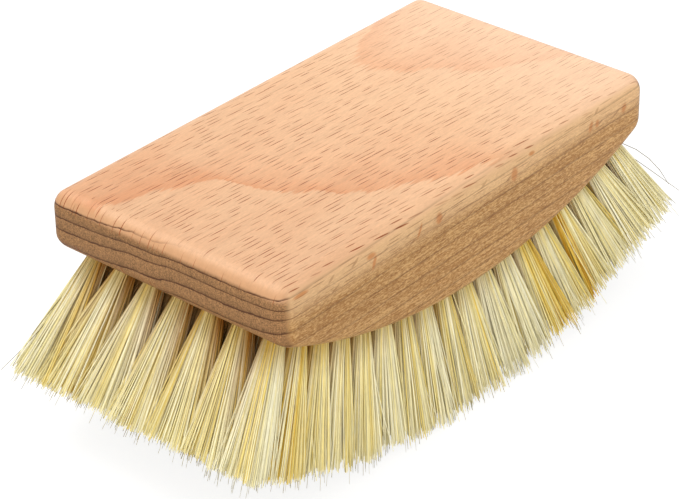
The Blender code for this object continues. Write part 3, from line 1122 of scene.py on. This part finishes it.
def squared(places):
    """Places of a circle moved towards those of a square: the distance from the middle grows by a
    share of what a square's border lies further out than a circle's in that direction."""
    away = np.linalg.norm(places, axis=-1, keepdims=True) + TINY
    widest = np.abs(places).max(axis=-1, keepdims=True) + TINY
    return places * (1 + FAN_SQUARE * (away / widest - 1))


def locks_of(rng, places):
    """For each fibre the middle of its lock, which is the nearest of a few centres, and the
    lock's number."""
    centres = sunflower(rng, len(places), LOCKS_PER_TUFT, LOCK_STIR)
    gaps = np.linalg.norm(places[:, :, None] - centres[:, None], axis=-1)
    number = gaps.argmin(axis=-1)
    return np.take_along_axis(centres, number[..., None], axis=1), number


def by_lock(values, locks):
    """One value for each lock, handed to the lock's fibres."""
    return np.take_along_axis(values, locks, axis=1)


FIBRE_ROOM = math.pi * BUNDLE_RADIUS**2 / FIBRES_PER_TUFT
print("room for each fibre in its hole in square mm:", round(FIBRE_ROOM / MM**2, 3))

# %% [markdown]
# One row of tufts at a time makes one piece, as in the CAD model. At its tip a fibre is drawn
# towards the middle of its lock. The outermost tufts spread less on their free side, each tuft's
# fan is a little wider or narrower, and tufts, locks and fibres all stray a little.

# %% Where the fibres of a row end
LOCK_PULL = 0.3
PULL_RANGE = 0.6, 1.2
FREE_SIDE_SHARE = 0.66
FAN_RANGE = 0.88, 1.12
TUFT_STRAY = 0.4 * MM
LOCK_STRAY = 0.35 * MM
FIBRE_STRAY = 0.5 * MM


def fan_places(rng, roots, places):
    """Each fibre's place in its fan, measured from the fan's middle, and its lock's number: the
    place in the bundle, squared, pulled to the lock and scaled to the fan, plus the strays."""
    middles, locks = locks_of(rng, places)
    pull = by_lock(rng.uniform(0, LOCK_PULL, PER_LOCK), locks)[..., None]
    pull = pull * rng.uniform(*PULL_RANGE, pull.shape)
    tips = squared(places) + (squared(middles) - squared(places)) * pull
    outermost = np.isclose(np.abs(roots[..., :2]), (LAST_ROW, LAST_TUFT))
    facing_out = outermost & (tips * np.sign(roots[..., :2]) > 0)
    tips = np.where(facing_out, tips * FREE_SIDE_SHARE, tips)
    fan = FAN_HALF * rng.uniform(*FAN_RANGE, (TUFTS_PER_ROW, 1, 2))
    stray = rng.normal(0, TUFT_STRAY, (TUFTS_PER_ROW, 1, 2))
    lock_stray = [by_lock(rng.normal(0, LOCK_STRAY, PER_LOCK), locks) for _ in range(2)]
    stray = stray + np.stack(lock_stray, axis=-1)
    stray = stray + rng.normal(0, FIBRE_STRAY, places.shape)
    return tips * fan + stray, locks


print("the largest pull towards a lock's middle:", round(LOCK_PULL * PULL_RANGE[1], 2))

# %% [markdown]
# No trim is perfect. Locks are cut a little high or low, most fibres fall a little short, some
# stand out beyond the rest, and a few wild ones are shorter. The fibres at the far side, which
# have a larger Y, are a touch longer than those at the near side.

# %% How unevenly the fibres are cut
TRIM_LIFT = 0.1 * MM
TRIM_TILT = 0.02
LOCK_UNEVEN = 0.4 * MM
FIBRE_UNEVEN = 0.65 * MM
LONG_SHARE = 0.17
LONG_EXTRA = 1.3 * MM
WILD_SHARE = 0.03
WILD_SHORTER = 4 * MM
LONGEST_EXTRA = 2.6 * MM


def cut_changes(rng, start, locks):
    """How much further than the trimmed curve each fibre reaches, and which are long or wild."""
    change = by_lock(rng.normal(0, LOCK_UNEVEN, PER_LOCK), locks) - TRIM_LIFT
    change = change + TRIM_TILT * start[..., 1]
    change = change - np.abs(rng.normal(0, FIBRE_UNEVEN, locks.shape))
    long = rng.random(locks.shape) < LONG_SHARE
    change = change + np.where(long, rng.exponential(LONG_EXTRA, locks.shape), 0)
    wild = rng.random(locks.shape) < WILD_SHARE
    change = change - np.where(wild, rng.uniform(0, WILD_SHORTER, locks.shape), 0)
    return np.minimum(change, LONGEST_EXTRA), long, wild


print("shares of long and of wild fibres:", LONG_SHARE, WILD_SHARE)

# %% [markdown]
# The course of a fibre is a straight line along its tuft's lean, plus the way out to its place in
# the fan, which it covers quickly at first because the bundle is freed at the hole's mouth, plus a
# bend that grows with the square of the distance from the root. The wild fibres bend far more.

# %% The courses of a row's fibres
FLARE = 0.95
BEND = 0.4 * MM
WILD_BEND = 3 * MM


def row_courses(number, rng):
    """Points along every fibre of a row, as an array of tufts by fibres by steps by 3, each
    fibre's lock, which fibres are long or wild, and how near its tuft's middle each starts."""
    roots, ways = (all_rows[number][:, None, :] for all_rows in tuft_places())
    slope = math.asin(roots[0, 0, 0] / ROCKER_RADIUS)
    axes = np.array([[math.cos(slope), 0, math.sin(slope)], [0, 1, 0]])
    places = sunflower(rng, TUFTS_PER_ROW, FIBRES_PER_TUFT, FIBRE_STIR)
    ends, locks = fan_places(rng, roots, places)
    start = roots + places * BUNDLE_RADIUS @ axes
    straight = ways * (BRISTLE_LENGTH / -ways[..., 2:])
    outwards = (ends - places * BUNDLE_RADIUS) @ axes
    change, long, wild = cut_changes(rng, start, locks)
    reach = trim_reach(start, straight + outwards)
    reach = reach + change / np.linalg.norm(straight, axis=-1)
    along = reach[..., None] * FIBRE_SHARES
    ahead = np.maximum(along, 0)
    size = np.where(wild, WILD_BEND, BEND) * rng.normal(0, 1, locks.shape)
    heading = rng.uniform(0, FULL_TURN, locks.shape)
    bend = np.stack([size * np.cos(heading), size * np.sin(heading)], axis=-1) @ axes
    points = start[..., None, :] + straight[..., None, :] * along[..., None]
    points = points + outwards[..., None, :] * (ahead**FLARE)[..., None]
    points = points + bend[..., None, :] * (ahead**2)[..., None]
    points[..., 2] = np.maximum(points[..., 2], FIBRE_RADIUS)
    core = 1 - np.minimum(np.linalg.norm(places, axis=-1), 1)
    return points, locks, long, wild, core


print("points along a fibre:", len(FIBRE_SHARES))

# %% [markdown]
# A fibre's skin is a thin three-sided tube along its course, which tapers and is closed at both
# ends. With so few faces to a fibre, tens of thousands of them still make a light model.

# %% The skin of the fibres


def fibre_skin(courses, rng, size, taper):
    """Tubes round all courses: at each point a ring in the plane across the fibre, whose radius
    is the fibre's own, less its taper times the cube of the distance along."""
    run = np.gradient(courses, axis=1)
    run /= np.linalg.norm(run, axis=-1, keepdims=True)
    first = np.cross(run, (0, 1, 0))
    first /= np.linalg.norm(first, axis=-1, keepdims=True)
    second = np.cross(run, first)
    turns = np.arange(FIBRE_SIDES) * FULL_TURN / FIBRE_SIDES
    turns = turns + rng.uniform(0, FULL_TURN, (len(courses), 1))
    share = np.maximum(FIBRE_SHARES, 0)
    radius = FIBRE_RADIUS * size[:, None] * (1 - taper[:, None] * share**3)
    ring = first[:, :, None] * np.cos(turns)[:, None, :, None]
    ring = ring + second[:, :, None] * np.sin(turns)[:, None, :, None]
    return courses[:, :, None] + ring * radius[:, :, None, None]


print("points in a fibre's skin:", len(FIBRE_SHARES) * FIBRE_SIDES)

# %% [markdown]
# The faces are the same for every fibre, but for the numbers of the points that they join. What
# the finish has to know is stored on the points as named attributes. The shading stays flat,
# because shading that blends over three sides would darken them.

# %% The faces and the mesh of many tubes


def on_every_fibre(faces, count):
    """One fibre's faces for every fibre, each moved up past the points of those before it."""
    starts = np.arange(count) * (FIBRE_STEPS + 1) * FIBRE_SIDES
    return (faces[None] + starts[:, None, None]).reshape(-1, faces.shape[1])


def fibre_faces(count):
    """The quads between the rings of each fibre, and the triangles that close its two ends."""
    ring = np.arange(FIBRE_SIDES)
    after = (ring + 1) % FIBRE_SIDES
    low = np.arange(FIBRE_STEPS)[:, None] * FIBRE_SIDES
    high = low + FIBRE_SIDES
    quads = np.stack([low + ring, low + after, high + after, high + ring], -1).reshape(-1, 4)
    ends = np.array([ring[::-1], FIBRE_STEPS * FIBRE_SIDES + ring])
    return on_every_fibre(quads, count), on_every_fibre(ends, count)


def tube_mesh(name, skin, numbers):
    """A mesh of all fibres' tubes, with the numbers stored on its points."""
    mesh = mesh_of(name, skin.reshape(-1, 3), *fibre_faces(len(skin)))
    for label, values in numbers.items():
        layer = mesh.attributes.new(label, "FLOAT", "POINT")
        spread = np.broadcast_to(values, skin.shape[:3])
        layer.data.foreach_set("value", spread.astype(np.float32).ravel())
    mesh.shade_flat()
    return mesh


print("faces of one fibre:", sum(len(faces) for faces in fibre_faces(1)))

# %% [markdown]
# Fibre finish
#
# Each fibre has its own tone, from cream through straw to gold. A colour ramp turns the tone into
# a colour. Deep inside the brush and in the middle of a tuft, a golden-brown painted shade lies on
# the fibres near their roots, where light reaches them only through their neighbours, and all
# roots get a greyer painted shade under the block. Thin single hairs look grey against a bright
# background, so the last bit of the long fibres and the whole of the stray hairs are grey. Fine
# streaks make the colour uneven along a fibre.

# %% Material: fibre
FIBRE_TONES = [
    (0.0, linear(251, 245, 210)),
    (0.3, linear(249, 237, 176)),
    (0.6, linear(244, 219, 120)),
    (0.82, linear(234, 196, 78)),
    (1.0, linear(208, 154, 38)),
]
INNER_PAINTED_SHADE = linear(174, 116, 18)
ROOT_SHADE = linear(208, 194, 152)
ROOT_END = 0.35
GREY_FROM = 0.5, 1
THIN_GREY = linear(150, 146, 132)
FIBRE_STREAK_SIZE = (0.6 * MM, 0.6 * MM, 5 * MM)
FIBRE_STREAK_STRENGTH = 0.25


def number_of(tree, label):
    """A number stored on the mesh's points."""
    node = tree.nodes.new("ShaderNodeAttribute")
    node.attribute_name = label
    return node.outputs["Fac"]


fibre, tree, shader = new_material("fibre", Roughness=0.4, Specular_IOR_Level=0.12)
tones = node_of(tree, "ValToRGB", number_of(tree, "tone"))
for place, shade in FIBRE_TONES[1:-1]:
    tones.color_ramp.elements.new(place)
for element, (place, shade) in zip(tones.color_ramp.elements, FIBRE_TONES):
    element.position = place
    element.color = shade
texture_place = tree.nodes.new("ShaderNodeTexCoord")
streak_place = stretched(tree, texture_place.outputs["Object"], FIBRE_STREAK_SIZE)
streaked = placed(tree, streaks, Vector=streak_place, Strength=FIBRE_STREAK_STRENGTH)[0]
# Golden-brown painted shade deep inside the brush and in the middle of each tuft.
colour = tinted(tree, tones.outputs[0], INNER_PAINTED_SHADE, number_of(tree, "inside"))
rooted = fade(tree, number_of(tree, "reach"), ROOT_END, 0)
colour = tinted(tree, colour, ROOT_SHADE, rooted)
greyed = fade(tree, number_of(tree, "grey"), *GREY_FROM)
colour = tinted(tree, colour, THIN_GREY, greyed)
colour = tinted(tree, colour, streaked)
feed(tree, shader.inputs["Base Color"], colour)
print("material:", fibre.name, "with", len(tree.nodes), "nodes")

# %% [markdown]
# The numbers that the finish reads are worked out for every fibre. Locks have a tone in common,
# and some of them are golden throughout.

# %% Numbers for the fibre finish
INSIDE_FROM = 1 * MM
INSIDE_TO = 3.4 * MM
INSIDE_FADE = 1.4
CORE_PAINTED_SHADE = 0.5
TONE_SPREAD = 0.85
TONE_CHANCE = 1.4, 4.6
LOCK_TONE_SPREAD = 0.1
TUFT_TONE_SPREAD = 0.05
GOLDEN_LOCKS = 0.14
GOLDEN_EXTRA = 0.35


def inner_shade_of(courses, core):
    """How much painted shade each point gets: how deep inside the brush it is, as a soft step of
    the distance from the root to the outer border of the tufts, times the share of the length that
    is left, to a power. A tuft's own core gets painted shade too, which fades more slowly."""
    root = np.abs(courses[..., 0, :2])
    border = np.array([LAST_ROW, LAST_TUFT]) + BUNDLE_RADIUS
    gap = (border - root).min(axis=-1)
    step = np.clip((gap - INSIDE_FROM) / (INSIDE_TO - INSIDE_FROM), 0, 1)
    left = 1 - np.clip(FIBRE_SHARES, 0, 1)
    whole = (step**2 * (3 - 2 * step))[..., None] * left**INSIDE_FADE
    return np.maximum(whole, CORE_PAINTED_SHADE * core[..., None] * left)


def fibre_tones(rng, locks):
    """Each fibre's tone: its own chance, plus its lock's and its tuft's."""
    lock = rng.normal(0, LOCK_TONE_SPREAD, PER_LOCK)
    lock = lock + (rng.random(PER_LOCK) < GOLDEN_LOCKS) * GOLDEN_EXTRA
    tuft = rng.normal(0, TUFT_TONE_SPREAD, (TUFTS_PER_ROW, 1))
    own = TONE_SPREAD * rng.beta(*TONE_CHANCE, locks.shape)
    return np.clip(own + by_lock(lock, locks) + tuft, 0, 1)


GOLDEN_COUNT = GOLDEN_LOCKS * TUFTS_PER_ROW * LOCKS_PER_TUFT
print("golden locks in a row, on average:", round(GOLDEN_COUNT, 1))

# %% [markdown]
# Stray hairs
#
# A few long hairs stand away from the end rows. Each is a curve that is drawn from its root to its
# tip and pulled towards a third place between them, all three in millimetres.

# %% Stray hairs
FIRST_ROW_HAIRS = [
    ((-62, 28, 42.5), (-73, 34, 27), (-82.6, 40.3, 17.5)),
    ((-62, 28, 42.5), (-77, 36, 27), (-80.4, 38.5, 18.2)),
]
LAST_ROW_HAIRS = [
    ((61, -29, 42.5), (79.5, -30, 33), (83.7, -34, 21.3)),
    ((61, -28.5, 43), (76, -30, 29.5), (85.7, -36, 19.2)),
    ((61, -28.5, 43), (74, -32, 29), (86, -35, 14.8)),
]
STRAY_HAIRS = {0: FIRST_ROW_HAIRS, ROW_COUNT - 1: LAST_ROW_HAIRS}


def hair_courses(number):
    """Points along the stray hairs of a row: the root weighs the square of what is left of the
    way, the tip the square of what is done, and the third place twice their product."""
    hairs = np.array(STRAY_HAIRS.get(number, [])).reshape(-1, 3, 1, 3) * MM
    done = np.linspace(0, 1, FIBRE_STEPS + 1)[:, None]
    left = 1 - done
    return hairs[:, 0] * left**2 + hairs[:, 1] * 2 * left * done + hairs[:, 2] * done**2


print("stray hairs:", sum(len(hairs) for hairs in STRAY_HAIRS.values()))

# %% [markdown]
# Each row's fibres and stray hairs become one mesh, which stands for the row's CAD node. A long
# fibre tapers more than the others, which are blunter. The seed is the row's own, so a row stays
# the same when another one changes.

# %% Build the rows of bristles
SEED = 7
LEAST_TAPER = 0.35
LONG_TAPER = 0.7
FIBRE_SIZES = 0.7, 1.3
STRAY_SIZE = 0.65
STRAY_TONE = 0.1
STRAY_INSIDE = 0.3
WILD_TONE = 0.3
WILD_INSIDE = 0.4
BLUNT_GREY = 0.6


def row_mesh(number, name):
    """One row: its courses and its stray hairs, the tubes round them and the numbers on them."""
    rng = np.random.default_rng(SEED + number)
    courses, locks, long, wild, core = row_courses(number, rng)
    # How much painted shade each point gets. The wild fibres get less of it.
    inside = np.where(wild[..., None], WILD_INSIDE, 1) * inner_shade_of(courses, core)
    tone = np.where(wild, WILD_TONE, 1) * fibre_tones(rng, locks)
    size = rng.uniform(*FIBRE_SIZES, long.size)
    taper = np.where(long, LONG_TAPER, LEAST_TAPER)
    grey = np.zeros((long.size, FIBRE_STEPS + 1))
    grey[:, -1] = np.where(long, 1, BLUNT_GREY).ravel()
    strays = hair_courses(number)
    hairs, hair_points = len(strays), strays.shape[:2]
    courses = np.concatenate([courses.reshape(-1, FIBRE_STEPS + 1, 3), strays])
    size = np.append(size, np.full(hairs, STRAY_SIZE))
    taper = np.append(taper, np.full(hairs, LEAST_TAPER))
    tone = np.append(tone, np.full(hairs, STRAY_TONE))
    inside = np.append(inside, np.full(hair_points, STRAY_INSIDE)).reshape(-1, FIBRE_STEPS + 1)
    grey = np.append(grey, np.ones(hair_points)).reshape(-1, FIBRE_STEPS + 1)
    numbers = {
        "tone": tone[:, None, None],
        "reach": np.maximum(FIBRE_SHARES, 0)[:, None],
        "grey": grey[:, :, None],
        "inside": inside[:, :, None],
    }
    return tube_mesh(name, fibre_skin(courses, rng, size, taper), numbers)


face_total = 0
for number in range(ROW_COUNT):
    row = f"{number + 1:02d}"
    mesh = row_mesh(number, "bristle_row_" + row)
    piece_of("bristle_row_" + row, mesh, fibre, ["tuft_row_" + row])
    face_total += len(mesh.polygons)
print("bristles:", ROW_COUNT, "rows with", face_total, "faces")

# %% [markdown]
# Floor, light and background
#
# The brush stands on a plain pale floor. Rays that come from the camera see the floor and the
# world almost white, so the background is white without more light on the wood, and the floor
# still shows a faint shadow.

# %% Floor
FLOOR_SIZE = 3
FLOOR_GREY = (0.88, 0.88, 0.88, 1)
FLOOR_SEEN = (0.32, 0.32, 0.32, 1)
FLOOR_GLOW = 0.82

floor_mesh = mesh_of(
    "floor",
    np.array([[-1, -1, 0], [1, -1, 0], [1, 1, 0], [-1, 1, 0]]) * FLOOR_SIZE,
    np.array([[0, 1, 2, 3]]),
)
floor_finish, tree, shader = new_material("pale_floor", Roughness=0.9, Specular_IOR_Level=0)
seen = tree.nodes.new("ShaderNodeLightPath").outputs["Is Camera Ray"]
feed(tree, shader.inputs["Base Color"], mixed(tree, seen, FLOOR_GREY, FLOOR_SEEN))
shader.inputs["Emission Color"].default_value = (1, 1, 1, 1)
feed(tree, shader.inputs["Emission Strength"], product(tree, seen, FLOOR_GLOW))
floor_mesh.materials.append(floor_finish)
new_object("floor", floor_mesh)
print("floor:", 2 * FLOOR_SIZE, "m wide")

# %% [markdown]
# The world gives even light from all sides. A broad lamp high behind the brush, as the camera sees
# it, lights the top. A second one beside the camera fills in the near end and the long side.

# %% World and lamps
WORLD_STRENGTH = 0.75
LIT_PLACE = np.array([0, 0, 40 * MM])

world = bpy.data.worlds.new("studio")
world.use_nodes = True
bpy.context.scene.world = world
tree = world.node_tree
background = tree.nodes["Background"]
background.inputs["Color"].default_value = (1, 1, 1, 1)
paths = tree.nodes.new("ShaderNodeLightPath").outputs
seen = maths(tree, "MAXIMUM", paths["Is Camera Ray"], paths["Is Glossy Ray"])
seen = maths(tree, "MAXIMUM", seen, paths["Is Transmission Ray"])
feed(tree, background.inputs["Strength"], between(tree, seen, WORLD_STRENGTH, 1))


def soft_lamp(name, place, size, power):
    """A square area lamp that faces the middle of the brush. Its back axis points from there to
    the lamp, and the other two are square to it."""
    light = bpy.data.lights.new(name, "AREA")
    light.size = size
    light.energy = power
    back = np.array(place) - LIT_PLACE
    back /= np.linalg.norm(back)
    side = np.cross((0.0, 1.0, 0.0), back)
    side /= np.linalg.norm(side)
    placed_object(name, light, place, np.column_stack([side, np.cross(back, side), back]))


soft_lamp("key", place=(-0.08, 0.54, 0.98), size=0.7, power=4.2)
soft_lamp("fill", place=(-1.0, -0.75, 0.35), size=0.9, power=6)
bpy.context.scene.view_settings.view_transform = "Standard"
print("lamps: key and fill")
